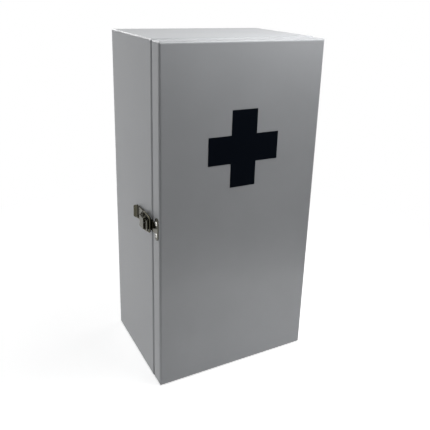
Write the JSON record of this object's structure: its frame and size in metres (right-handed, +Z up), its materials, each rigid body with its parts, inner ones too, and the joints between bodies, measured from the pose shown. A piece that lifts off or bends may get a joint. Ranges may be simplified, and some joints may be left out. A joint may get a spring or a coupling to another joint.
{
  "type": "medicine cabinet",
  "caption": "Wall-mounted folded-steel cabinet with a full-height hinged door, a plain cross, shelves and a side toggle latch with a padlock eye.",
  "frame": {"origin": "centre of the carcass's footprint on its flat underside, half-way between the door's face and the wall face", "axes": "+Z up, +X to the right seen from the front, +Y from the door towards the wall"},
  "size_m": [0.2138, 0.1482, 0.4],
  "materials": {
    "powder_coat": "satin powder coat",
    "nickel": "dark nickel plate",
    "rivet_steel": "zinc plated",
    "cross_film": "matt film",
    "rubber": "moulded"
  },
  "bodies": {
    "carcass": {"carcass_shell": "powder_coat", "back_panel": "powder_coat", "lower_shelf": "powder_coat", "upper_shelf": "powder_coat", "shelf_brackets": "powder_coat", "door_buffers": "rubber", "upper_hinge_frame_leaf": "nickel", "upper_hinge_pin": "nickel", "lower_hinge_frame_leaf": "nickel", "lower_hinge_pin": "nickel", "hinge_rivets_carcass": "rivet_steel", "latch_base": "nickel", "latch_rivets": "rivet_steel", "lever_pin": "nickel"},
    "door": {"door_skin": "powder_coat", "door_liner": "powder_coat", "cross_decal": "cross_film", "upper_hinge_door_leaf": "nickel", "lower_hinge_door_leaf": "nickel", "hinge_rivets_door": "rivet_steel", "strike_plate": "nickel", "strike_rivets": "rivet_steel"},
    "lever": {"latch_lever": "nickel"},
    "bail": {"latch_bail": "nickel"}
  },
  "joints": [
    {"name": "door_hinge", "type": "hinge", "parent": "carcass", "child": "door", "pos_m": [0.1025, -0.05375, 0.2], "axis": [0, 0, 1], "range_deg": [0, 180]},
    {"name": "lever_pivot", "type": "hinge", "parent": "carcass", "child": "lever", "pos_m": [-0.1052, -0.045, 0.201], "axis": [0, 0, 1], "range_deg": [0, 100]},
    {"name": "bail_pivot", "type": "hinge", "parent": "lever", "child": "bail", "pos_m": [-0.1041, -0.0376, 0.201], "axis": [0, 0, 1], "range_deg": [-65, 0]}
  ],
  "couplings": [
    {"joint": "bail_pivot", "follows": "lever_pivot", "ratio": -0.65}
  ]
}
